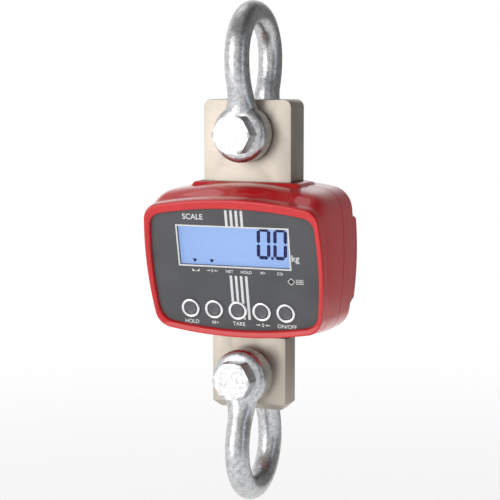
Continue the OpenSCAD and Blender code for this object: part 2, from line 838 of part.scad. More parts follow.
at_bottom_pin() split_pin();  // bottom_split_pin
bottom_washers();
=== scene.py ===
# %% [markdown]
# # A hanging crane scale, from plain solids to finished surfaces
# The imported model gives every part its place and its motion. This lesson adds what the eye looks for:
# rounded edges, cast and forged forms, printed legends and the finish of each metal, paint and plastic.
# The object hangs from its top bow, the load line is Z, and the display looks towards -Y.

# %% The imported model
import json
import math
import bpy
import mathutils
import numpy as np
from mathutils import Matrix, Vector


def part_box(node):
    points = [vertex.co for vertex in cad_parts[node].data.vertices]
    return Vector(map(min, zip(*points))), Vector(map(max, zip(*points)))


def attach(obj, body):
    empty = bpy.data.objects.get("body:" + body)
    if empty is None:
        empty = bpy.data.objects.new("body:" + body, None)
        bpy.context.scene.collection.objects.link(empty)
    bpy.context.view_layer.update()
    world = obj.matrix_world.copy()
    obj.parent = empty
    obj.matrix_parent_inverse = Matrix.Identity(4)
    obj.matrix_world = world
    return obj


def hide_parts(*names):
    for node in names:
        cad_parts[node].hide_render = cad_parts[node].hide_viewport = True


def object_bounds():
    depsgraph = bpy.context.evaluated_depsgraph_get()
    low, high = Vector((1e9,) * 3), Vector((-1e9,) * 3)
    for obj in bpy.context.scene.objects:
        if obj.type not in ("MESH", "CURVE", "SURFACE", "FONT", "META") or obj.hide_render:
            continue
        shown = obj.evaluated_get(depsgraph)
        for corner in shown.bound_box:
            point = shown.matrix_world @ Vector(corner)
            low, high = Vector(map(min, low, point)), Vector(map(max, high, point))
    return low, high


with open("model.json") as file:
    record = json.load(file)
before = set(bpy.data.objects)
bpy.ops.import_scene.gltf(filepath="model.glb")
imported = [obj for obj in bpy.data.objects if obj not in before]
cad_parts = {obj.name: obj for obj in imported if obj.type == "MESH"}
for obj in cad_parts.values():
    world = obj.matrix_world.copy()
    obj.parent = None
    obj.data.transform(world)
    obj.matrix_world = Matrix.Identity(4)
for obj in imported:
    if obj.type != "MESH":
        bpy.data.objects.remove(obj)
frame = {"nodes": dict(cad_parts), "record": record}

cad_box = [list(corner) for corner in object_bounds()]
nodes = frame["nodes"]
scene = bpy.context.scene
mm = 0.001

# %% [markdown]
# ## Camera
# The camera looks at the scale from about 22 degrees to its right and 6 degrees above, some 1.25 m away,
# through a long lens that keeps its sides almost parallel. No shift is needed, so turning round stays simple.

# %% Camera
def aim(thing, place, target):
    """Turns a camera or light so that its -Z axis runs from place to target, with its X axis level."""
    ahead = np.array(target, float) - np.array(place, float)
    ahead /= np.linalg.norm(ahead)
    right = np.cross(ahead, (0, 0, 1))
    right /= np.linalg.norm(right)
    above = np.cross(right, ahead)
    turned = np.eye(4)
    turned[:3, 0], turned[:3, 1], turned[:3, 2], turned[:3, 3] = right, above, -ahead, place
    thing.matrix_world = mathutils.Matrix(turned.tolist())

camera_data = bpy.data.cameras.new("camera")
camera_data.lens, camera_data.sensor_width = 115.3, 36
camera = bpy.data.objects.new("camera", camera_data)
scene.collection.objects.link(camera)
camera_place, camera_target = (0.4622, -1.1569, -0.0349), (-0.0034, 0, -0.1747)
aim(camera, camera_place, camera_target)
scene.camera = camera

# %% [markdown]
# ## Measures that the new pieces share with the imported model
# A replaced piece has to sit where its solid sits, so its main sizes come from the solids' own boxes.

# %% Shared measures
def span(node, axis):
    """Lowest and highest value of a node along one axis, in millimetres."""
    low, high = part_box(node)
    return low[axis] / mm, high[axis] / mm

lean = math.radians(12)
panel_origin = np.array([0, -43.5, -168.0])
panel_up = np.array([0, -math.sin(lean), math.cos(lean)])
panel_out = np.array([0, -math.cos(lean), -math.sin(lean)])
top_pin = sum(span("top_bolt", 2)) / 2
bottom_pin = sum(span("bottom_bolt", 2)) / 2
case_half = span("front_shell", 0)[1]
collar_top = span("front_shell", 2)[1]
split = span("front_shell", 1)[1]
back = span("rear_shell", 1)[1] - 0.5
print(f"pins at {top_pin:.2f} and {bottom_pin:.2f}, casing half width {case_half:.2f}, back {back:.2f}")

# %% [markdown]
# ## From a grid of points to a mesh
# Nearly every new piece is one surface: rows of points, each row a closed loop. Two neighbouring rows make
# a belt of four-sided faces. The last row joins the first one in a ring, or flat lids close the two ends.
# A closed surface encloses a volume, and its sign tells whether the faces point outwards.

# %% Grid to mesh
def put(name, points, faces, body, stands_for=()):
    """Makes a smooth-shaded mesh object from points in millimetres and faces, and lets it ride on a body."""
    mesh = bpy.data.meshes.new(name)
    mesh.from_pydata((np.asarray(points, float) * mm).tolist(), [], faces)
    mesh.update()
    piece = bpy.data.objects.new(name, mesh)
    scene.collection.objects.link(piece)
    mesh.shade_smooth()
    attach(piece, body)
    if stands_for:
        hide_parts(*stands_for)
    print(f"{name}: {len(mesh.vertices)} points, {len(mesh.polygons)} faces")
    return piece

def belts(rows, columns, ring):
    """Face corners of a grid whose columns close on themselves; ring joins the last row to the first."""
    r = np.arange(rows if ring else rows - 1)[:, None]
    c = np.arange(columns)[None, :]
    below, above, following = r * columns, (r + 1) % rows * columns, (c + 1) % columns
    return np.stack([below + c, above + c, above + following, below + following], -1).reshape(-1, 4)

def closed(name, grid, body, stands_for=(), ring=False):
    """A closed surface from grid[row, column]: its signed volume, a sum of tetrahedra, sets the facing."""
    rows, columns = grid.shape[:2]
    faces = belts(rows, columns, ring)
    flat = grid.reshape(-1, 3)
    last = rows * columns - 1
    lids = [] if ring else [list(range(columns)), list(range(last, last - columns, -1))]
    a, b, c, d = (flat[faces[:, k]] for k in range(4))
    volume = (np.cross(a, b) * c).sum() + (np.cross(a, c) * d).sum()
    for lid in lids:
        rim_points = flat[lid]
        volume += (np.cross(rim_points[0], rim_points[1:-1]) * rim_points[2:]).sum()
    if volume < 0:
        faces, lids = faces[:, ::-1], [lid[::-1] for lid in lids]
    return put(name, flat, faces.tolist() + lids, body, stands_for)

def bake(piece):
    """Replaces a piece's mesh by what its modifiers make of it, and clears them."""
    graph = bpy.context.evaluated_depsgraph_get()
    made = bpy.data.meshes.new_from_object(piece.evaluated_get(graph), depsgraph=graph)
    piece.modifiers.clear()
    piece.data = made
    made.shade_smooth()

def crisp(piece, degrees=32):
    """Smooth shading everywhere but across edges that turn by more than this angle."""
    piece.data.shade_smooth()
    piece.data.set_sharp_from_angle(angle=math.radians(degrees))

def cut(piece, *tools, operation="DIFFERENCE"):
    """Takes the tools' solids out of a piece, or unites them with it, and throws the tools away."""
    for tool in tools:
        step = piece.modifiers.new("cut", "BOOLEAN")
        step.operation, step.solver, step.object = operation, "EXACT", tool
    bake(piece)
    for tool in tools:
        bpy.data.objects.remove(tool)

def turned_about_bolt(section, z, sides, x=0):
    """A section of (radius, y) turned about an axis along Y: (x + r cos t, y, z + r sin t)."""
    turn = np.linspace(0, 2 * np.pi, sides, endpoint=False)
    return np.array([np.stack([x + r * np.cos(turn), np.full(sides, y), z + r * np.sin(turn)], -1)
                     for r, y in section])

def block(low, high):
    """A cutting box between two corners, in millimetres."""
    x, y, z = (np.array([low[k], high[k]], float) for k in range(3))
    ring = [(x[0], y[0]), (x[1], y[0]), (x[1], y[1]), (x[0], y[1])]
    grid = np.array([[(u, v, w) for u, v in ring] for w in z])
    return closed("tool", grid, "top_shackle")

def rod(radius, y0, y1, x=0, z=0, sides=96):
    """A cutting cylinder along Y: a circle in X and Z, carried from y0 to y1."""
    return closed("tool", turned_about_bolt([(radius, y0), (radius, y1)], z, sides, x), "top_shackle")

# %% [markdown]
# ## The casing's outline
# Panel, rim, shells and cover all share one family of outlines: four flat arcs joined by round corners.
# One quarter runs along the side arc, round the corner circle, and along the top arc. Where the corner
# circle touches both arcs is where two larger circles round the same centres meet.

# %% Outline
side_radius, flat_radius = 300, 320

def arc(centre, radius, start, stop, steps):
    """Points on a circle from one angle to another, first one included and last one left to the next arc."""
    turn = np.linspace(start, stop, steps + 1)[:-1]
    return np.array(centre) + radius * np.stack([np.cos(turn), np.sin(turn)], -1)

def quarter(half, top, middle, corner, d, steps):
    """A quarter outline: side arc, corner arc, top arc, each tangent to the next."""
    s, t = np.array([half + d - side_radius, middle]), np.array([0, top + d - flat_radius])
    rs, rt = side_radius - d - corner, flat_radius - d - corner
    between = t - s
    apart = np.linalg.norm(between)
    along = (rs * rs - rt * rt + apart * apart) / (2 * apart)
    aside = math.sqrt(rs * rs - along * along)
    unit = between / apart
    k = s + along * unit + aside * np.array([unit[1], -unit[0]])
    if k[0] < 0 or k[1] < t[1]:
        k = s + along * unit - aside * np.array([unit[1], -unit[0]])
    a, b = math.atan2(*(k - s)[::-1]), math.atan2(*(k - t)[::-1])
    return np.concatenate([arc(s, rs + corner, 0, a, steps[0]), arc(k, corner, a, b, steps[1]),
                           arc(t, rt + corner, b, math.pi / 2, steps[2]), [[0, top]]])

def outline(shape, d=0.0, steps=(30, 14, 44)):
    """The whole outline, anticlockwise from its widest point on the right, moved inwards by d."""
    half, top, bottom, middle, r_top, r_bottom = shape
    up = quarter(half - d, top - d, middle, max(r_top - d, 1), d, steps)
    down = quarter(half - d, -bottom - d, -middle, max(r_bottom - d, 1), d, steps) * [1, -1]
    left = [-1, 1]
    return np.concatenate([up, up[-2::-1] * left, down[1:] * left, down[-2:0:-1]])

def upright(points, y):
    """The outline as a loop in space at one depth."""
    return np.stack([points[:, 0], np.full(len(points), y), points[:, 1]], -1)

def leaning(points, y, z, angle):
    """The outline in a plane that leans by angle about X."""
    s, c = math.sin(angle), math.cos(angle)
    return np.stack([points[:, 0], y - points[:, 1] * s, z + points[:, 1] * c], -1)

def on_panel(points, out=0.0):
    """Panel coordinates (across, up) to space, out being the distance in front of the printed face."""
    points = np.atleast_2d(points)
    return panel_origin + points[:, :1] * [1, 0, 0] + points[:, 1:2] * panel_up + out * panel_out

# Half width, top, bottom, height of the widest place, and the radii of the upper and lower corners.
rim = [72.6, 38.6, -72.2, -8, 12.5, 14]
opening = [67.9, 30.3, -66.8, -12, 9.5, 13]
middle_shape = [case_half - 0.1, 56.6, -62.5, 3, 16, 16]
body_shape = [case_half - 0.08, collar_top - 0.2, -242, -175, 19, 19]
print("points round an outline:", len(outline(rim)))

# %% [markdown]
# ## Front shell
# The real shell is a die casting: a deep dish that flows from the leaning rim to the upright joint with the
# rear shell. It could be carved from a block, but a smooth curve through three outlines gives the flow
# directly. The flat-topped collar round the load cell is raised by a smooth maximum of the shell's height
# and the collar's, which leaves the small fillets that a casting has.

# %% Shell surfaces
def through(rings, steps):
    """A smooth curve (Catmull-Rom) through matching points of a few rings, in steps samples a stretch."""
    p = np.array([2 * rings[0] - rings[1], *rings, 2 * rings[-1] - rings[-2]])
    rows = []
    for k in range(1, len(p) - 2):
        t = np.linspace(0, 1, steps + 1)[:-1, None, None]
        a, b, c, d = p[k - 1], p[k], p[k + 1], p[k + 2]
        curve = 2 * b + (c - a) * t + (2 * a - 5 * b + 4 * c - d) * t**2 + (3 * b - a - 3 * c + d) * t**3
        rows.append(0.5 * curve)
    return np.concatenate([*rows, rings[-1][None]])

def soft_max(a, b, k):
    """The larger of two heights, with the corner between them rounded over about k."""
    return 0.5 * (a + b + np.sqrt((a - b) ** 2 + k * k))

def with_collar(grid, y_front, y_back):
    """Raises a shell's upper part to the collar: flat on top, and falling steeply past its four edges."""
    x, y, z = grid[..., 0], grid[..., 1], grid[..., 2]
    past_sides = soft_max(np.abs(x) - collar_half, 0, 1.2) * 3.2
    past_front, past_back = soft_max(y_front - y, 0, 1.0) * 4.5, soft_max(y - y_back, 0, 1.0) * 4.5
    height = collar_top - past_sides - past_front - past_back
    raised = grid.copy()
    upper = (z > -140) & (np.abs(x) < 60)
    raised[..., 2] = np.where(upper, soft_max(z, height, 0.5) - 0.02, z)
    return raised

def front_rings(inset, out):
    """The shell's three guiding outlines, moved inwards: leaning rim, half way, and upright joint."""
    return [leaning(outline(rim, inset + 0.4, shell_steps), *(on_panel([[0, 0]], out)[0][1:]), lean),
            leaning(outline(middle_shape, inset, shell_steps), -22, -178, math.radians(7)),
            upright(outline(body_shape, inset, shell_steps), split)]

def load_cell_slots(y_low, y_high):
    """Two cutting boxes where the load cell and its seals pass through the casing's top and bottom."""
    upper = block((-38.7, max(-16.8, y_low), -135), (38.7, min(16.8, y_high), -110))
    return upper, block((-33, max(-13.4, y_low), -250), (33, min(13.4, y_high), -225))

collar_half, wall = 44.2, 3
shell_steps = (46, 16, 64)
outer = with_collar(through(front_rings(0, -5), 34), -19.6, 60)
inner = through(front_rings(wall, -8), 5)[::-1]
lip = [leaning(outline(rim, 9, shell_steps), *(on_panel([[0, 0]], out)[0][1:]), lean) for out in (-8, -5)]
front_grid = np.concatenate([outer, inner, lip])
front_casting = closed("front_casting", front_grid, "scale_head", ["front_shell"], ring=True)
cut(front_casting, *load_cell_slots(-20, 10))
crisp(front_casting)

# %% [markdown]
# ## Rear shell
# Its side wall runs straight back and turns over a rounded edge into the flat rear face. Behind the battery
# cover the wall stays full width, so two profiles, one rounded and one square, are mixed by height.

# %% Rear shell
def turned_edge(inset, depth, radius, count):
    """A quarter turn from a side wall into a rear face, as rows of inset from the wall and depth."""
    turn = np.linspace(0, math.pi / 2, count)
    return np.stack([inset + radius * (1 - np.cos(turn)), depth - radius * (1 - np.sin(turn))], -1)

def rear_rows(heights, profile_a, profile_b):
    """Rings whose inset and depth follow one profile inside a band of heights and the other outside it."""
    rows = []
    for (inset_a, y_a), (inset_b, y_b) in zip(profile_a, profile_b):
        a = upright(outline(body_shape, inset_a, rear_steps), y_a)
        b = upright(outline(body_shape, inset_b, rear_steps), y_b)
        z = upright(outline(body_shape, 0, rear_steps), 0)[:, 2]
        inside = np.clip((heights[1] - z) / 1.0, 0, 1) * np.clip((z - heights[0]) / 1.0, 0, 1)
        weight = (inside * inside * (3 - 2 * inside))[:, None]
        rows.append(a * (1 - weight) + b * weight)
    return rows

rear_steps = (90, 16, 56)
edge = turned_edge(0, back, 5, 9)
square = turned_edge(0.25, back + 0.45, 0.9, 9)
joint = split + 0.8
side_wall = [(0, y) for y in np.linspace(joint, 20, 18)]
profile_a = side_wall + [(0, 24), (0, 28)] + edge.tolist() + [(8, back), (12, back)]
profile_b = side_wall + [(0.2, 24), (0.2, 31)] + square.tolist() + [(5, back + 0.45), (12, back)]
cover_band = (-216.2, -147.6)
shell = with_collar(np.array(rear_rows(cover_band, profile_a, profile_b)), -60, 18.6)
hollow_profile = ((12, back - wall), (5, back - wall), (wall, back - 5), (wall, joint))
hollow = [upright(outline(body_shape, inset, rear_steps), y) for inset, y in hollow_profile]
rear_casting = closed("rear_casting", np.concatenate([hollow, shell]), "scale_head", ["rear_shell"])
tray_x, tray_z = span("battery_tray", 0), span("battery_tray", 2)
tray_hole = block((tray_x[0] - 0.4, back - 9, tray_z[0] - 0.4), (tray_x[1] + 0.4, back + 5, tray_z[1] + 0.4))
casing_screws = [(side * x, z) for side in (-1, 1) for x, z in ((60.8, -134.4), (59.2, -227.6))]
screw_holes = [rod(4, back - 5, back + 4, x, z) for x, z in casing_screws]
cover_screws = [(side * 63, -181) for side in (-1, 1)]
cut(rear_casting, *load_cell_slots(0, 20), tray_hole, *screw_holes,
    *[rod(2.2, back - 9, back + 4, x, z) for x, z in cover_screws])
crisp(rear_casting)

# %% [markdown]
# ## Rim
# The glossy rim frames the panel like a picture frame. Its section climbs steeply to a crest near the outer
# edge, slopes gently inwards and drops over a small round to the panel. The section is a list of
# (share of the way inwards, height) and rides round between the two outlines.

# %% Rim
def bead(points, steps):
    """A section drawn through corner points, each corner rounded by running the average of its neighbours."""
    p = np.array(points, float)
    t = np.linspace(0, len(p) - 1, (len(p) - 1) * steps + 1)
    drawn = np.stack([np.interp(t, np.arange(len(p)), p[:, k]) for k in range(2)], -1)
    for _ in range(3):
        drawn[1:-1] = (drawn[:-2] + 2 * drawn[1:-1] + drawn[2:]) / 4
    return drawn

rim_steps = (60, 26, 70)
outside, inside = outline(rim, 0, rim_steps), outline(opening, 0, rim_steps)
section = bead([(0, -5), (0, -1), (0.01, 2.0), (0.10, 3.7), (0.30, 3.8), (0.62, 3.3), (0.84, 2.75),
                (0.95, 1.9), (1.0, 0.3)], 6)
rows = [on_panel(outside * (1 - m) + inside * m, out) for m, out in section]
under = [on_panel(outside * (1 - m) + inside * m, out) for m, out in ((1.0, 0.02), (0.56, 0.02), (0.56, -5))]
rim_casting = closed("rim_casting", np.array(rows + under), "scale_head", ["front_bezel"], ring=True)
crisp(rim_casting, 50)

# %% [markdown]
# ## Softened load cell
# The load cell is right as it is, except that no real edge is knife sharp. A copy of the solid is merged, its
# flat faces are joined, and a narrow bevel turns every edge: on a ground part it is the thin bright line
# that says metal.

# %% Load cell
def softened(node, body, width, segments=3, angle=30):
    """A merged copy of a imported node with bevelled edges."""
    mesh = nodes[node].data.copy()
    copy = bpy.data.objects.new(node + "_softened", mesh)
    scene.collection.objects.link(copy)
    weld = copy.modifiers.new("merge", "WELD")
    weld.merge_threshold = 0.00001
    flat = copy.modifiers.new("join flat faces", "DECIMATE")
    flat.decimate_type, flat.angle_limit = "DISSOLVE", math.radians(1)
    bevel = copy.modifiers.new("bevel", "BEVEL")
    bevel.width, bevel.segments = width * mm, segments
    bevel.limit_method, bevel.angle_limit = "ANGLE", math.radians(angle)
    bevel.harden_normals = False
    bake(copy)
    copy.data.set_sharp_from_angle(angle=math.radians(40))
    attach(copy, body)
    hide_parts(node)
    print(f"{copy.name}: {len(copy.data.polygons)} faces")
    return copy

load_cell_edge = 0.7
cell = softened("load_cell", "scale_head", load_cell_edge)

# %% [markdown]
# ## Forged bows
# A bow is bar steel bent hot, with its ends forged into eyes, so the bar swells smoothly into each eye.
# The bar is an oval carried along the bow's centre line, the eyes are turned profiles, and a fine voxel
# skin over all of them, smoothed a little, grows the fillets that a forging die leaves. The bores are
# drilled afterwards, as on the real one.

# %% Bows
bar_radius, eye_centre, crown_radius, crown_height, neck_height = 9.5, 25.5, 35.0, 57.5, 14.0

bore = 10.08

def bow_line():
    """The centre line in Y and height above the bolt, with the half width: neck, S-bend, half crown."""
    rise, side = (crown_height - neck_height) / 2, (crown_radius - eye_centre) / 2
    bend = 2 * math.atan(side / rise)
    radius = rise / math.sin(bend)
    a = np.linspace(0, bend, 12)[:-1]
    b = np.linspace(bend, 0, 12)[:-1]
    c = np.linspace(0, math.pi / 2, 40)
    y = np.concatenate([[eye_centre] * 3, eye_centre + radius * (1 - np.cos(a)),
                        crown_radius - radius * (1 - np.cos(b)), crown_radius * np.cos(c)])
    z = np.concatenate([[4, 8, 11], neck_height + radius * np.sin(a),
                        crown_height - radius * np.sin(b), crown_height + crown_radius * np.sin(c)])
    swell = np.clip((36 - z) / 28, 0, 1)
    return np.stack([y, z, bar_radius + 7.5 * swell**1.8], -1)

def eye(side, body):
    """A forged eye as a turned profile: flat towards the load cell, an elliptical round on its outer edge."""
    near, far, r, flat = 16.05, 34.95, 21.9, 13.5
    turn = np.linspace(0, math.pi / 2, 14)
    outer_round = [(flat + (r - flat) * math.cos(t), far - 6 * (1 - math.sin(t))) for t in turn]
    section = [(1, near), (r - 2, near), (r - 0.6, near + 0.6), (r, near + 2)] + outer_round + [(1, far)]
    return closed("eye", turned_about_bolt([(q, side * y) for q, y in section], 0, 96), body)

def bow(name, body, stands_for, pin, upside_down):
    """Bar and eyes in one skin: a point lies sin(angle) across the bar and cos(angle) out of its bend."""
    half = bow_line()
    whole = np.concatenate([half, half[-2::-1] * [-1, 1, 1]])
    ahead = np.gradient(whole[:, :2], axis=0)
    ahead /= np.linalg.norm(ahead, axis=1)[:, None]
    turn = np.linspace(0, 2 * np.pi, 48, endpoint=False)
    narrow = np.where(whole[:, 1] < 12, bar_radius - 0.25, bar_radius)[:, None]
    out = narrow * np.cos(turn)
    bar = np.stack([whole[:, 2:3] * np.sin(turn), whole[:, 0:1] + out * ahead[:, 1:2],
                    whole[:, 1:2] - out * ahead[:, 0:1]], -1)
    skin = closed(name, bar, body, stands_for)
    parts = [skin, eye(-1, body), eye(1, body)]
    clouds = [np.array([v.co for v in p.data.vertices]) for p in parts]
    polygons, start = [], 0
    for p, cloud in zip(parts, clouds):
        polygons += [[start + k for k in face.vertices] for face in p.data.polygons]
        start += len(cloud)
    joined = bpy.data.meshes.new(name)
    joined.from_pydata(np.concatenate(clouds).tolist(), [], polygons)
    skin.data = joined
    for p in parts[1:]:
        bpy.data.objects.remove(p)
    voxels = skin.modifiers.new("skin", "REMESH")
    voxels.mode, voxels.voxel_size, voxels.use_smooth_shade = "VOXEL", 0.75 * mm, True
    relax = skin.modifiers.new("relax", "SMOOTH")
    relax.factor, relax.iterations = 0.5, 9
    bake(skin)
    cut(skin, rod(bore, -50, 50, sides=128))
    co = np.empty(len(skin.data.vertices) * 3)
    skin.data.vertices.foreach_get("co", co)
    co = co.reshape(-1, 3)
    if upside_down:
        co = co * [-1, 1, -1]
    co[:, 2] = np.clip(co[:, 2] + pin * mm, cad_box[0][2], cad_box[1][2])
    skin.data.vertices.foreach_set("co", co.ravel())
    crisp(skin, 45)
    print(f"{name}: {len(skin.data.polygons)} faces after the voxel skin")
    return skin

top_forging = bow("top_bow_forging", "top_shackle", ["top_bow"], top_pin, False)
bottom_forging = bow("bottom_bow_forging", "bottom_shackle", ["bottom_bow"], bottom_pin, True)

# %% [markdown]
# ## Bolts and nuts
# A hexagon is a distance to three pairs of flats. Taking a high power mean of the three distances gives the
# slightly soft corners of a hot-forged head, and the smaller of that and a cone gives its turned-off
# corners. The thread is a real helix: the radius depends on the place along the bolt and on the angle.

# %% Bolts and nuts
hex_flat, shank, pitch, sides = 14.0, 10.0, 2.5, 216
head_front, thread_start, bolt_end = -47.7, 36.2, 57.95
turn = np.linspace(0, 2 * np.pi, sides, endpoint=False)

def hexagon(twist, power=46):
    """Radius of a soft-cornered hexagon at each angle."""
    axes = math.pi / 6 + twist + np.array([0, math.pi / 3, 2 * math.pi / 3])
    return ((np.abs(np.cos(turn[:, None] - axes)) / hex_flat) ** power).sum(1) ** (-1 / power)

def soft_min(a, b, k=0.25):
    """The smaller of two radii, rounded over about k."""
    return 0.5 * (a + b - np.sqrt((a - b) ** 2 + k * k))

def bolt(name, body, stands_for, pin, twist):
    """Head, shank and thread as one turned surface: each row is a radius for every angle and a depth y."""
    front, hexed = head_front, hexagon(twist)
    rows = [(1.0, front + 0.1), (6.0, front + 0.08), (9.5, front + 0.03), (12.4, front)]
    for step in np.concatenate([[0.05, 0.25], np.linspace(0.5, 4, 14), [6, 9, 11.6, 12.1, 12.4]]):
        under_head = 0.35 if step > 12.3 else 0.0
        rows.append((soft_min(hexed, 14.6 + 1.75 * step) - under_head, front + step))
    rows += [(12.0, front + 12.48), (10.2, front + 12.48), (shank, -34.8)]
    rows += [(shank, y) for y in np.linspace(-30, 36, 12)]
    for y in np.arange(thread_start, 57.2, 0.25):
        phase = (y / pitch - turn / (2 * np.pi)) % 1
        rows.append((shank - 0.02 - 0.62 * (1 - np.abs(2 * phase - 1)) * min(1, (y - thread_start) / 2), y))
    rows += [(9.2, 57.5), (8.6, bolt_end), (1.0, bolt_end)]
    piece = closed(name, turned_about_bolt(rows, pin, sides), body, stands_for)
    crisp(piece, 38)
    return piece

def nut(name, body, stands_for, pin, twist):
    """A hexagon with both ends turned off by a cone, and a bore."""
    hexed, start, stop = hexagon(twist), 35.25, 49.95
    inwards = np.linspace(0.05, 2.6, 10)
    rows = [(shank + 0.06, start), (13.0, start)]
    rows += [(soft_min(hexed, 13.3 + 1.75 * step), start + step) for step in inwards]
    rows += [(hexed, y) for y in np.linspace(start + 4, stop - 4, 4)]
    rows += [(soft_min(hexed, 13.3 + 1.75 * step), stop - step) for step in inwards[::-1]]
    rows += [(13.0, stop), (10.9, stop), (shank + 0.06, stop - 0.8)]
    piece = closed(name, turned_about_bolt(rows, pin, sides), body, stands_for, ring=True)
    crisp(piece, 38)
    return piece

top_forged_bolt = bolt("top_forged_bolt", "top_pin", ["top_bolt"], top_pin, 0.0)
bottom_forged_bolt = bolt("bottom_forged_bolt", "bottom_pin", ["bottom_bolt"], bottom_pin, 0.0)
top_forged_nut = nut("top_forged_nut", "top_pin", ["top_nut"], top_pin, 0.2)
bottom_forged_nut = nut("bottom_forged_nut", "bottom_pin", ["bottom_nut"], bottom_pin, 0.1)

# %% [markdown]
# ## Washers
# Two washers sit between each lower eye and the load cell. Tumbling rounds a punched washer's edge, and
# that round edge is what catches the light as a thin bright ring.

# %% Washers
thick, wide, roll, gap = 2.3, 20.0, 0.85, 0.1

def washer(name, near, side):
    """A ring about the lower bolt with a rolled outer edge, from near outwards on one side of the cell."""
    bend = np.linspace(-math.pi / 2, math.pi / 2, 13)
    edge = [(wide - roll * (1 - math.cos(t)), thick / 2 * (1 + math.sin(t))) for t in bend]
    rows = [(r, side * (near + out)) for r, out in [(bore, 0), *edge, (bore, thick)]]
    return closed(name, turned_about_bolt(rows, bottom_pin, 128), "bottom_pin", ["bottom_washers"], ring=True)

washer_first = span("bottom_washers", 1)[1] - 2 * thick - gap
washers = [washer(f"washer_{word}_{k + 1}", washer_first + (thick + gap) * k, side)
           for word, side in (("front", -1), ("back", 1)) for k in (0, 1)]
for piece in washers:
    crisp(piece, 50)

# %% [markdown]
# ## Push buttons
# Each button is a turned metal ring pressed into the panel, with a dished cap inside it. Both are drawn as
# a section of (radius, height over the panel) that turns about the button's own axis.

# %% Push buttons
button_x = (-39.4, -19.7, 0.0, 19.7, 39.4)
button_up, stem_end = -50.8, -7.9
ring_section = [(5.35, -4), (5.35, 0.8), (5.45, 1.1), (5.75, 1.35), (6.3, 1.58), (6.85, 1.65), (7.25, 1.5),
                (7.55, 1.15), (7.7, 0.8), (7.75, 0.4), (7.75, 0), (6.7, 0), (6.7, -4)]
cap_section = [(1, stem_end), (2, stem_end), (2, -5.4), (6.2, -5.4), (6.2, -4.4), (5.1, -4.4), (5.1, 0.55),
               (5.0, 0.85), (4.75, 1.15), (4.45, 1.3), (4.2, 1.3), (3.9, 1.12), (3.4, 1.0), (2, 0.92),
               (0.7, 0.9)]

def turned_on_panel(name, section, x, body, stands_for, ring=False):
    """A section turned about an axis square to the panel: (x + r cos t, up + r sin t) at each height."""
    turn = np.linspace(0, 2 * np.pi, 72, endpoint=False)
    circle = np.stack([np.cos(turn), np.sin(turn)], -1)
    grid = np.array([on_panel([x, button_up] + r * circle, out) for r, out in section])
    piece = closed(name, grid, body, stands_for, ring)
    crisp(piece, 40)
    return piece

keys = ("hold", "memory", "tare", "zero", "power")
rings = [turned_on_panel(key + "_ring", ring_section, x, "scale_head", ["button_rings"], ring=True)
         for key, x in zip(keys, button_x)]
caps = [turned_on_panel(key + "_cap", cap_section, x, key + "_key", [key + "_button"])
        for key, x in zip(keys, button_x)]

# %% [markdown]
# ## Battery cover
# The cover is a shallow die-cast lid with a generous edge radius, hollow inside, and two bosses for its
# screws. It is one closed surface from the inside floor, round the rim, to the outer face.

# %% Battery cover
cover_x, cover_y, cover_z = (span("battery_cover", axis) for axis in range(3))
cover_shape = [cover_x[1], cover_z[1], cover_z[0], -175, 3, 3]
cover_base, cover_back = cover_y
cover_wall, cover_round = 2.5, 4.5
turned = np.linspace(0, math.pi / 2, 9)
inside_rows = [(9, cover_back - cover_wall), (4, cover_back - cover_wall), (cover_wall, cover_back - 4),
               (cover_wall, cover_base), (0, cover_base), (0, cover_base + 1)]
round_rows = [(cover_round * (1 - math.cos(t)), cover_back - cover_round * (1 - math.sin(t))) for t in turned]
cover_rows = inside_rows + round_rows + [(9, cover_back)]
cover_grid = np.array([upright(outline(cover_shape, inset, (40, 14, 50)), y) for inset, y in cover_rows])
cover = closed("battery_lid", cover_grid, "cover", ["battery_cover"])
cut(cover, *[rod(4.2, cover_base + 0.1, cover_back - 1, x, z) for x, z in cover_screws], operation="UNION")
cut(cover, *[rod(2.3, back, cover_back + 5, x, z) for x, z in cover_screws],
    *[rod(3.8, cover_back - 3.4, cover_back + 5, x, z) for x, z in cover_screws])
crisp(cover)

# %% [markdown]
# ## Printed legends
# The panel is a printed membrane. Its legends are ink a few hundredths of a millimetre thick: flat shapes
# just in front of the membrane. Words come from a text object that is turned into a mesh and laid on
# the panel. Only plain words for functions and units are printed.

# %% Ink shapes
ink_points, ink_faces = [], []
font_capital = 0.69

def ink(shape_points, shape_faces=None):
    """Adds a flat shape in panel coordinates to the print."""
    start = sum(len(p) for p in ink_points)
    ink_points.append(np.asarray(shape_points, float))
    for face in shape_faces or [range(len(shape_points))]:
        ink_faces.append([start + k for k in face])

def bar_shape(x0, x1, v0, v1):
    """Corners of an upright rectangle."""
    return [(x0, v0), (x1, v0), (x1, v1), (x0, v1)]

def frame_shapes(x0, x1, v0, v1, line):
    """Inks a rectangle's four sides as strips that lie inside its corners."""
    low, high = v0 + line, v1 - line
    for x, end in ((x0, x0 + line), (x1 - line, x1)):
        ink(bar_shape(x, end, low, high))
    for v, top in ((v0, low), (high, v1)):
        ink(bar_shape(x0, x1, v, top))

def line_shape(a, b, width):
    """Corners of a straight stroke."""
    a, b = np.array(a, float), np.array(b, float)
    n = np.array([-(b - a)[1], (b - a)[0]]) / np.linalg.norm(b - a) * width / 2
    return [a - n, b - n, b + n, a + n]

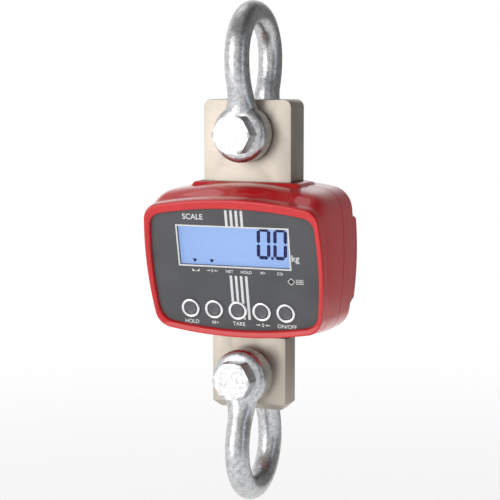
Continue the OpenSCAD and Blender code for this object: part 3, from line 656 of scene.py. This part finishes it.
def words(text, cap, x, v, align="CENTER", bold=0.016):
    """Words whose capitals are cap high, their baseline at height v."""
    curve = bpy.data.curves.new("words", "FONT")
    curve.body, curve.align_x, curve.offset = text, align, bold
    shown = bpy.data.objects.new("words", curve)
    scene.collection.objects.link(shown)
    graph = bpy.context.evaluated_depsgraph_get()
    mesh = bpy.data.meshes.new_from_object(shown.evaluated_get(graph), depsgraph=graph)
    co = np.array([p.co[:2] for p in mesh.vertices]) * cap / font_capital + [x, v]
    ink(co, [list(face.vertices) for face in mesh.polygons])
    bpy.data.objects.remove(shown)
    print(f"{text}: {np.ptp(co[:, 0]):.1f} mm wide")

def arrow(x, v, direction, size=1.0):
    """A short arrow: a stroke and a head."""
    tip = x + direction * 1.5 * size
    ink(line_shape((x - direction * 1.5 * size, v), (tip - direction * 0.9 * size, v), 0.5 * size))
    foot, half = tip - direction * 1.2 * size, 0.85 * size
    ink([(foot, v - half), (tip, v), (foot, v + half)][::direction])

def zero_mark(x, v, size=1.0):
    """Arrows that point at a nought from both sides."""
    arrow(x - 3.1 * size, v, 1, size)
    arrow(x + 3.1 * size, v, -1, size)
    words("0", 2.2 * size, x, v - 1.1 * size)

# %% Legends
thin, key_cap, row_cap, key_line, row_line = 0.004, 3.0, 2.3, -63.3, -20.7
words("HOLD", key_cap, button_x[0], key_line)
words("M+", key_cap, button_x[1], key_line, bold=thin)
words("TARE", key_cap, button_x[2], key_line)
words("ON/OFF", key_cap, button_x[4], key_line)
zero_mark(button_x[3], -61.8, 1.25)
words("NET", row_cap, -4.4, row_line)
words("HOLD", row_cap, 9.3, row_line)
words("M+", row_cap, 23.2, row_line, bold=thin)
zero_mark(-18.6, -19.5, 1.0)
ink([(-35.3, -20.5), (-32.9, -20.5), (-35.3, -18.3)])
ink([(-29.3, -20.5), (-29.3, -18.3), (-31.7, -20.5)])
ink(line_shape((-32.9, -20.3), (-31.7, -20.3), 0.4))
frame_shapes(34.6, 38.6, -20.5, -18.5, 0.4)
ink(bar_shape(38.6, 39.2, -19.9, -19.1))
words("kg", 4.9, 46.7, -9.2, "LEFT")
words("SCALE", 4.2, -31.3, 21.2)
diamond = [(45.4 + 2.7 * u, -25.4 + 2.7 * v) for u, v in ((1, 0), (0, 1), (-1, 0), (0, -1), (1, 0))]
for a, b in zip(diamond, diamond[1:]):
    ink(line_shape(a, b, 0.55))
for x in (49.3, 52.4):
    frame_shapes(x, x + 2.6, -27.3, -23.5, 0.4)
    ink(bar_shape(x + 0.8, x + 1.8, -25.9, -24.9))
window_half, window_up, window_line = 46.3, 16.6, 1.2
frame_shapes(-window_half, window_half, -window_up, window_up, window_line)
bar_half = 1.05
for x in (-3.6, 0.6, 4.8, 9.0):
    for low, high in ((window_up, 29.2), (-58.0, -22.8)):
        ink(bar_shape(x - bar_half, x + bar_half, low, high))
ink_height = 0.04
print_piece = put("white_legends", on_panel(np.concatenate(ink_points), ink_height), ink_faces, "scale_head")

# %% [markdown]
# ## Digits
# A liquid crystal display darkens seven bar segments a digit. Each bar has mitred ends, with a thin gap to
# its neighbour, and the whole digit leans a few degrees. The marks stand just in front of the glass.

# %% Digits
digit_points, digit_faces = [], []

def mark(shape_points):
    """Adds one dark shape to the display."""
    start = sum(len(p) for p in digit_points)
    digit_points.append(np.asarray(shape_points, float))
    digit_faces.append([start + k for k in range(len(shape_points))])

def segment(a, b, thick, gap, place, slope=0.07):
    """A bar between two corners of the digit, its ends cut to points and pulled back by the gap."""
    a, b = np.array(a, float), np.array(b, float)
    u = (b - a) / np.linalg.norm(b - a)
    n = np.array([-u[1], u[0]]) * thick / 2
    a, b = a + u * gap, b - u * gap
    cut_back = u * thick * 0.42
    shape_points = np.array([a, a + cut_back - n, b - cut_back - n, b, b - cut_back + n, a + cut_back + n])
    shape_points[:, 0] += slope * shape_points[:, 1]
    mark(shape_points + place)

def nought(x, v, wide=8.3, high=22.0, thick=2.8, gap=0.3):
    """The six outer segments of a digit, from its lower left corner line."""
    corners = [(0, 0), (wide, 0), (wide, high / 2), (wide, high), (0, high), (0, high / 2), (0, 0)]
    for a, b in zip(corners, corners[1:]):
        segment(a, b, thick, gap, (x, v))

for x in (19.0, 32.4):
    nought(x, -8.4)
mark(bar_shape(29.2, 31.3, -9.7, -7.5))
for x in (-34.0, -19.9):
    mark([(x - 2.0, -11.6), (x, -14.6), (x + 2.0, -11.6)])
glass_depth = -3.56
digits = put("display_digits", on_panel(np.concatenate(digit_points), glass_depth), digit_faces, "scale_head")

# %% [markdown]
# ## Materials
# Each finish starts from the real surface and how it was made. Patterns read the Object coordinates, which
# are metres on the real thing, so a noise scale of 1000 divided by a size in millimetres gives that size.

# %% Node helpers
def srgb(code):
    """An sRGB hex colour as linear red, green, blue and alpha."""
    c = np.array([int(code[k:k + 2], 16) for k in (1, 3, 5)]) / 255
    return (*np.where(c <= 0.04045, c / 12.92, ((c + 0.055) / 1.055) ** 2.4).tolist(), 1.0)

def feed(node, sockets):
    """Gives a node's sockets their values, or links them where the value is another node's output."""
    for key, value in sockets.items():
        if isinstance(value, bpy.types.NodeSocket):
            node.id_data.links.new(value, node.inputs[key])
        else:
            node.inputs[key].default_value = value

def add(finish, kind, output, sockets=None, settings=None, stops=()):
    """Adds a node with its settings, values, links and ramp stops (place, hex colour); returns one output."""
    node = finish.node_tree.nodes.new("ShaderNode" + kind)
    for key, value in (settings or {}).items():
        setattr(node, key, value)
    while stops and len(node.color_ramp.elements) < len(stops):
        node.color_ramp.elements.new(0.5)
    for element, (place, code) in zip(node.color_ramp.elements if stops else (), stops):
        element.position, element.color = place, srgb(code)
    feed(node, sockets or {})
    return node.outputs[output]

def finish_for(name, sockets):
    """A new material, its shader set from sockets, and the place on the piece that its patterns read."""
    finish = bpy.data.materials.new(name)
    finish.use_nodes = True
    shader = finish.node_tree.nodes["Principled BSDF"]
    feed(shader, sockets)
    return finish, shader, add(finish, "TexCoord", "Object")

def per_mm(size):
    """The noise scale that gives features of about this size in millimetres."""
    return 1000.0 / size

# %% [markdown]
# ### Hot-dip galvanised steel
# Forgings dipped in molten zinc come out with a soft metallic grey in darker and lighter patches some 3 mm
# wide, dull pits of about 1 mm, and a slightly uneven skin. Two noises mix: the wide one sets the patches
# and how much they shine, the fine one the pits, and both raise the skin.

# %% Galvanised steel
galvanised, shader, place = finish_for("hot_dip_galvanised_steel", {"Metallic": 1.0, "Roughness": 0.3})
patchy = {"Vector": place, "Scale": per_mm(3.4), "Detail": 5.0, "Roughness": 0.75}
frosted = {"Vector": place, "Scale": per_mm(1.0), "Detail": 3.0, "Roughness": 0.65}
patches, grain = add(galvanised, "TexNoise", "Fac", patchy), add(galvanised, "TexNoise", "Fac", frosted)
pits = add(galvanised, "ValToRGB", "Color", {"Fac": grain}, stops=[(0.31, "#9c9da0"), (0.43, "#ffffff")])
zinc_greys = [(0.36, "#abacae"), (0.5, "#c8c9ca"), (0.64, "#dcdcdd")]
tones = add(galvanised, "ValToRGB", "Color", {"Fac": patches}, stops=zinc_greys)
colour = add(galvanised, "VectorMath", "Vector", {0: tones, 1: pits}, {"operation": "MULTIPLY"})
polish = add(galvanised, "MapRange", "Result", {"Value": patches, "To Min": 0.38, "To Max": 0.2})
uneven = add(galvanised, "Math", 0, {0: grain, 1: 0.35, 2: patches}, {"operation": "MULTIPLY_ADD"})
relief = add(galvanised, "Bump", "Normal", {"Height": uneven, "Distance": 0.19 * mm, "Strength": 0.9})
feed(shader, {"Base Color": colour, "Roughness": polish, "Normal": relief})

# %% [markdown]
# ### Ground nickel-plated steel
# The load cell is milled from alloy steel and plated with nickel, a warm silver. Its faces keep the fine
# lines of the grinding wheel, so the grain is a noise squeezed along the load line. The lines are drawn
# about 0.5 mm apart, coarser than real, so that they still show.

# %% Ground nickel
nickel, shader, place = finish_for("ground_nickel_plated_steel", {"Metallic": 1.0, "Roughness": 0.34})
squeezed = add(nickel, "Mapping", "Vector", {"Vector": place, "Scale": (1.0, 1.0, 24.0)})
lines = add(nickel, "TexNoise", "Fac", {"Vector": squeezed, "Scale": per_mm(12), "Detail": 3.0})
clouds = add(nickel, "TexNoise", "Fac", {"Vector": place, "Scale": per_mm(26), "Detail": 2.0})
colour = add(nickel, "ValToRGB", "Color", {"Fac": clouds}, stops=[(0.3, "#b3aba0"), (0.7, "#c0b7ab")])
polish = add(nickel, "MapRange", "Result", {"Value": lines, "To Min": 0.34, "To Max": 0.5})
relief = add(nickel, "Bump", "Normal", {"Height": lines, "Distance": 0.02 * mm, "Strength": 0.5})
feed(shader, {"Base Color": colour, "Roughness": polish, "Normal": relief})

# %% [markdown]
# ### Zinc-plated steel
# Screws, split pins and the bracket are barrel plated: a bluish bright grey with small clouds.

# %% Zinc plate
zinc, shader, place = finish_for("barrel_zinc_plated_steel", {"Metallic": 1.0, "Roughness": 0.3})
clouds = add(zinc, "TexNoise", "Fac", {"Vector": place, "Scale": per_mm(3), "Detail": 3.0})
colour = add(zinc, "ValToRGB", "Color", {"Fac": clouds}, stops=[(0.35, "#b4b9c0"), (0.65, "#d9dde2")])
polish = add(zinc, "MapRange", "Result", {"Value": clouds, "To Min": 0.22, "To Max": 0.42})
relief = add(zinc, "Bump", "Normal", {"Height": clouds, "Distance": 0.02 * mm, "Strength": 1.0})
feed(shader, {"Base Color": colour, "Roughness": polish, "Normal": relief})

# %% [markdown]
# ### Gloss red paint
# Die-cast aluminium sprayed with a two-pack enamel: a deep red under a clear glossy film. A film that has
# flowed out leaves orange peel, waves about 2 mm apart and a few thousandths of a millimetre deep, which
# make reflections swim slightly. Specks of pigment vary the red a little.

# %% Red paint
clear_coat = {"Coat Weight": 1.0, "Coat Roughness": 0.07, "Coat IOR": 1.5}
gloss = {"Roughness": 0.36, "Specular IOR Level": 0.2, **clear_coat}
red_paint, shader, place = finish_for("sprayed_gloss_red_enamel", gloss)
peel = add(red_paint, "TexNoise", "Fac", {"Vector": place, "Scale": per_mm(2.2), "Detail": 1.0})
specks = {"Vector": place, "Scale": per_mm(9), "Detail": 4.0, "Roughness": 0.7}
pigment = add(red_paint, "TexNoise", "Fac", specks)
colour = add(red_paint, "ValToRGB", "Color", {"Fac": pigment}, stops=[(0.35, "#c80c15"), (0.65, "#d4111b")])
relief = add(red_paint, "Bump", "Normal", {"Height": peel, "Distance": 0.006 * mm, "Strength": 0.8})
feed(shader, {"Base Color": colour, "Normal": relief})

# %% [markdown]
# ### Printed membrane
# The panel's skin is polycarbonate film printed dark grey on a fine matt texture of 0.5 mm grains.

# %% Membrane
matt_film = {"Roughness": 0.55, "Specular IOR Level": 0.4}
membrane, shader, place = finish_for("printed_matt_polycarbonate_film", matt_film)
grains = add(membrane, "TexNoise", "Fac", {"Vector": place, "Scale": per_mm(0.5), "Detail": 2.0})
tone = add(membrane, "TexNoise", "Fac", {"Vector": place, "Scale": per_mm(30), "Detail": 2.0})
colour = add(membrane, "ValToRGB", "Color", {"Fac": tone}, stops=[(0.3, "#4b4c4e"), (0.7, "#545557")])
polish = add(membrane, "MapRange", "Result", {"Value": grains, "To Min": 0.5, "To Max": 0.64})
relief = add(membrane, "Bump", "Normal", {"Height": grains, "Distance": 0.015 * mm, "Strength": 0.6})
feed(shader, {"Base Color": colour, "Roughness": polish, "Normal": relief})

# %% [markdown]
# ### Moulded rubber and plastics
# Seals are black nitrile rubber with a dusty skin. Buttons and the tray are ABS with spark-eroded texture,
# which spreads every highlight.

# %% Rubber and plastics
def moulded(name, dark, light, grain_mm, depth, sockets):
    """A moulded material: two close colours in soft clouds, and an eroded grain of a given size and depth."""
    finish, shader, place = finish_for(name, sockets)
    clouds = add(finish, "TexNoise", "Fac", {"Vector": place, "Scale": per_mm(grain_mm * 12), "Detail": 3.0})
    grains = add(finish, "TexNoise", "Fac", {"Vector": place, "Scale": per_mm(grain_mm), "Detail": 2.0})
    colour = add(finish, "ValToRGB", "Color", {"Fac": clouds}, stops=[(0.35, dark), (0.65, light)])
    relief = add(finish, "Bump", "Normal", {"Height": grains, "Distance": depth * mm, "Strength": 0.7})
    feed(shader, {"Base Color": colour, "Normal": relief})
    return finish

nitrile = moulded("moulded_nitrile_rubber", "#1a1a1b", "#242425", 0.6, 0.03, {"Roughness": 0.72})
abs_black = moulded("moulded_black_abs", "#161617", "#1e1e20", 0.5, 0.02, {"Roughness": 0.5})
satin = {"Roughness": 0.3, "Coat Weight": 0.5, "Coat Roughness": 0.12}
abs_cap = moulded("moulded_dark_grey_abs", "#4a4a4e", "#545458", 0.4, 0.01, satin)
abs_white = moulded("moulded_white_diffuser", "#dfe3ea", "#eef0f4", 0.8, 0.01, {"Roughness": 0.4})
white_ink = moulded("screen_printed_white_ink", "#d4d5d6", "#dedfe0", 0.3, 0.004, {"Roughness": 0.6})
lead_sleeve = moulded("extruded_red_lead_sleeve", "#8c1a1a", "#a32020", 0.5, 0.01, {"Roughness": 0.4})
carrier = moulded("polyimide_ribbon", "#a5692a", "#b97a35", 0.4, 0.01, {"Roughness": 0.3})
shrunk = {"Roughness": 0.25, "Coat Weight": 0.5}
battery_sleeve = moulded("shrink_film_battery_sleeve", "#23262b", "#2f343b", 1.2, 0.01, shrunk)

# %% [markdown]
# ### Bright metal, foil and circuit board
# Button rings are polished and chromed. The gauges are a meander of foil on a yellow carrier. A board is
# green solder mask over copper tracks, which show as slightly lighter paths about 1 mm wide.

# %% Small parts
chrome, shader, place = finish_for("polished_chrome_ring", {"Metallic": 1.0, "Roughness": 0.14})
clouds = add(chrome, "TexNoise", "Fac", {"Vector": place, "Scale": per_mm(2), "Detail": 2.0})
colour = add(chrome, "ValToRGB", "Color", {"Fac": clouds}, stops=[(0.3, "#e6e7e9"), (0.7, "#f4f5f6")])
polish = add(chrome, "MapRange", "Result", {"Value": clouds, "To Min": 0.1, "To Max": 0.2})
feed(shader, {"Base Color": colour, "Roughness": polish})

spring, shader, place = finish_for("rolled_spring_steel", {"Metallic": 1.0, "Roughness": 0.25})
rolled = add(spring, "Mapping", "Vector", {"Vector": place, "Scale": (18.0, 1.0, 1.0)})
lines = add(spring, "TexNoise", "Fac", {"Vector": rolled, "Scale": per_mm(6), "Detail": 2.0})
colour = add(spring, "ValToRGB", "Color", {"Fac": lines}, stops=[(0.3, "#c3c1ba"), (0.7, "#dcdad2")])
polish = add(spring, "MapRange", "Result", {"Value": lines, "To Min": 0.2, "To Max": 0.36})
feed(shader, {"Base Color": colour, "Roughness": polish})

foil, shader, place = finish_for("constantan_foil_on_film", {"Roughness": 0.35})
waves = {"Vector": place, "Scale": per_mm(6.3), "Distortion": 0.0}
meander = add(foil, "TexWave", "Fac", waves, {"bands_direction": "Z"})
colour = add(foil, "ValToRGB", "Color", {"Fac": meander}, stops=[(0.45, "#c9932f"), (0.55, "#8f7a58")])
metal = add(foil, "MapRange", "Result", {"Value": meander, "To Min": 0.1, "To Max": 0.9})
feed(shader, {"Base Color": colour, "Metallic": metal})

mask, shader, place = finish_for("green_solder_mask_board", {"Roughness": 0.3, "Coat Weight": 0.3})
cells = {"Vector": place, "Scale": per_mm(7)}
tracks = add(mask, "TexVoronoi", "Distance", cells, {"feature": "DISTANCE_TO_EDGE", "distance": "EUCLIDEAN"})
colour = add(mask, "ValToRGB", "Color", {"Fac": tracks}, stops=[(0.05, "#2f8a4d"), (0.12, "#176a36")])
relief = add(mask, "Bump", "Normal", {"Height": tracks, "Distance": 0.02 * mm, "Strength": 0.4})
feed(shader, {"Base Color": colour, "Normal": relief})

# %% [markdown]
# ### Display
# Behind the window a backlit liquid crystal glows light blue, a little brighter in the middle, with a
# trace of the polariser's grain. Its dark segments are a deep blue. The window is clear acrylic.

# %% Display
crystal, shader, place = finish_for("backlit_liquid_crystal", {"Roughness": 0.4, "Emission Strength": 0.9})
per_metre = (7.5, 0.0, 12.0)
middle = (0.0, 0.0, 0.168 * per_metre[2])
centred = add(crystal, "Mapping", "Vector", {"Vector": place, "Location": middle, "Scale": per_metre})
apart = add(crystal, "VectorMath", "Value", {0: centred}, {"operation": "LENGTH"})
polariser = add(crystal, "TexNoise", "Fac", {"Vector": place, "Scale": per_mm(0.8), "Detail": 1.0})
uneven = add(crystal, "Math", 0, {0: polariser, 1: 0.12, 2: apart}, {"operation": "MULTIPLY_ADD"})
glow = add(crystal, "ValToRGB", "Color", {"Fac": uneven}, stops=[(0.0, "#a8c8fa"), (0.5, "#9fbef2")])
feed(shader, {"Base Color": srgb("#3a5384"), "Emission Color": glow})

dull = {"Roughness": 0.5, "Specular IOR Level": 0.3}
segment_ink, shader, place = finish_for("dark_liquid_crystal_segment", dull)
grains = add(segment_ink, "TexNoise", "Fac", {"Vector": place, "Scale": per_mm(0.8), "Detail": 1.0})
colour = add(segment_ink, "ValToRGB", "Color", {"Fac": grains}, stops=[(0.3, "#141d5c"), (0.7, "#1b2668")])
feed(shader, {"Base Color": colour})

clear = {"Base Color": srgb("#14171b"), "Roughness": 0.04, "IOR": 1.49, "Alpha": 0.08}
acrylic, shader, place = finish_for("clear_cast_acrylic", clear)
wiped = add(acrylic, "TexNoise", "Fac", {"Vector": place, "Scale": per_mm(20), "Detail": 4.0})
polish = add(acrylic, "MapRange", "Result", {"Value": wiped, "To Min": 0.02, "To Max": 0.08})
feed(shader, {"Roughness": polish})

# %% [markdown]
# ## Every part gets its finish
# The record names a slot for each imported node, so one table from slot to material dresses all the nodes
# that stay, and the new pieces take theirs by hand.

# %% Dressing
by_slot = {
    "galvanised_steel": galvanised, "nickel_steel": nickel, "zinc_steel": zinc, "spring_steel": spring,
    "bright_ring": chrome, "copper_foil": foil, "red_paint": red_paint, "grey_panel": membrane,
    "window": acrylic, "display": crystal, "white_plastic": abs_white, "black_plastic": abs_black,
    "button_grey": abs_cap, "rubber": nitrile, "board": mask, "ribbon": carrier,
    "lead_sleeve": lead_sleeve, "battery_sleeve": battery_sleeve}
slot_of = {row["node"]: row["material_slot"] for row in frame["record"]["subparts"]}

def dress(piece, slot, finish=None):
    """Gives a piece the material of the record's slot that it stands for, or its own."""
    piece.data.materials.clear()
    piece.data.materials.append(finish or by_slot[slot])

for name, node in nodes.items():
    if not node.material_slots:
        node.data.materials.append(by_slot[slot_of[name]])
    for held in node.material_slots:
        held.material = by_slot[slot_of[name]]
forged = [top_forging, bottom_forging, top_forged_bolt, bottom_forged_bolt, top_forged_nut, bottom_forged_nut]
painted = [front_casting, rear_casting, rim_casting, cover]
for pieces, slot in ((painted, "red_paint"), ([cell], "nickel_steel"), (forged + washers, "galvanised_steel"),
                     (rings, "bright_ring"), (caps, "button_grey")):
    for piece in pieces:
        dress(piece, slot)
dress(print_piece, "white_plastic", white_ink)
dress(digits, "display", segment_ink)
print("finishes:", len(bpy.data.materials))

# %% [markdown]
# ## Light and floor
# Bright metal only shows what is around it. A white surround lights everything softly, and it falls to
# grey on the right, so that the right flanks of the bows and the casing turn dark and show their form.
# A broad light from the front left draws the highlights. The pale floor lies well below the hanging scale.

# %% Studio
world = bpy.data.worlds.new("studio")
scene.world = world
world.use_nodes = True
surround = world.node_tree.nodes["Background"]

towards = add(world, "TexCoord", "Generated")
# Each row is a direction, where along it the surround begins and stops to darken, and the light left there.
to_the_right = ((0.93, 0.36, 0.0), 0.1, 0.55, 0.22)
upwards = ((0.0, 0.0, 1.0), 0.35, 0.8, 0.36)
to_the_front = ((0.0, -1.0, 0.0), 0.1, 0.6, 0.85)
level = 1.0
for direction, start, stop, least in (to_the_right, upwards, to_the_front):
    along = add(world, "VectorMath", "Value", {0: towards, 1: direction}, {"operation": "DOT_PRODUCT"})
    limits = {"Value": along, "From Min": start, "From Max": stop, "To Min": 1.0, "To Max": least}
    part = add(world, "MapRange", "Result", limits, {"interpolation_type": "SMOOTHSTEP"})
    level = add(world, "Math", 0, {0: level, 1: part}, {"operation": "MULTIPLY"})
seen = add(world, "LightPath", "Is Camera Ray")
shown = add(world, "Math", 0, {0: level, 1: seen}, {"operation": "MAXIMUM"})
feed(surround, {"Color": shown, "Strength": 1.0})

def softbox(name, width, height, watts, place, tint="#ffffff"):
    """A rectangular area light that looks at the middle of the scale."""
    light = bpy.data.lights.new(name, "AREA")
    light.shape, light.size, light.size_y = "RECTANGLE", width, height
    light.energy, light.color = watts, srgb(tint)[:3]
    lamp = bpy.data.objects.new(name, light)
    scene.collection.objects.link(lamp)
    aim(lamp, place, (0, 0, -0.18))

softbox("key", 1.2, 1.8, 11.5, (-0.85, -1.5, 0.15))
softbox("overhead", 0.9, 0.9, 2.0, (-0.6, 0.5, 1.3))
softbox("strip", 0.2, 1.3, 1.6, (1.45, -0.42, -0.1), "#e8f2ff")

floor = bpy.data.objects.new("floor", bpy.data.meshes.new("floor"))
floor_radius, floor_level = 3, -0.75
turn = np.linspace(0, 2 * np.pi, 96, endpoint=False)
disc = np.stack([floor_radius * np.cos(turn), floor_radius * np.sin(turn), np.full(96, floor_level)], -1)
floor.data.from_pydata(disc.tolist(), [], [list(range(96))])
scene.collection.objects.link(floor)
matt = {"Base Color": srgb("#f6f6f6"), "Roughness": 0.8,
        "Emission Color": srgb("#ffffff"), "Emission Strength": 0.45}
pale, shader, place = finish_for("pale_painted_floor", matt)
flattened = add(pale, "Mapping", "Vector", {"Vector": place, "Scale": (1.0, 1.0, 0.0)})
apart = add(pale, "VectorMath", "Value", {0: flattened}, {"operation": "LENGTH"})
fade = {"Value": apart, "From Min": 0.8, "From Max": 2.9, "To Min": 1.0, "To Max": 0.0}
feed(shader, {"Alpha": add(pale, "MapRange", "Result", fade, {"interpolation_type": "SMOOTHSTEP"})})
floor.data.materials.append(pale)
scene.view_settings.view_transform = "Standard"
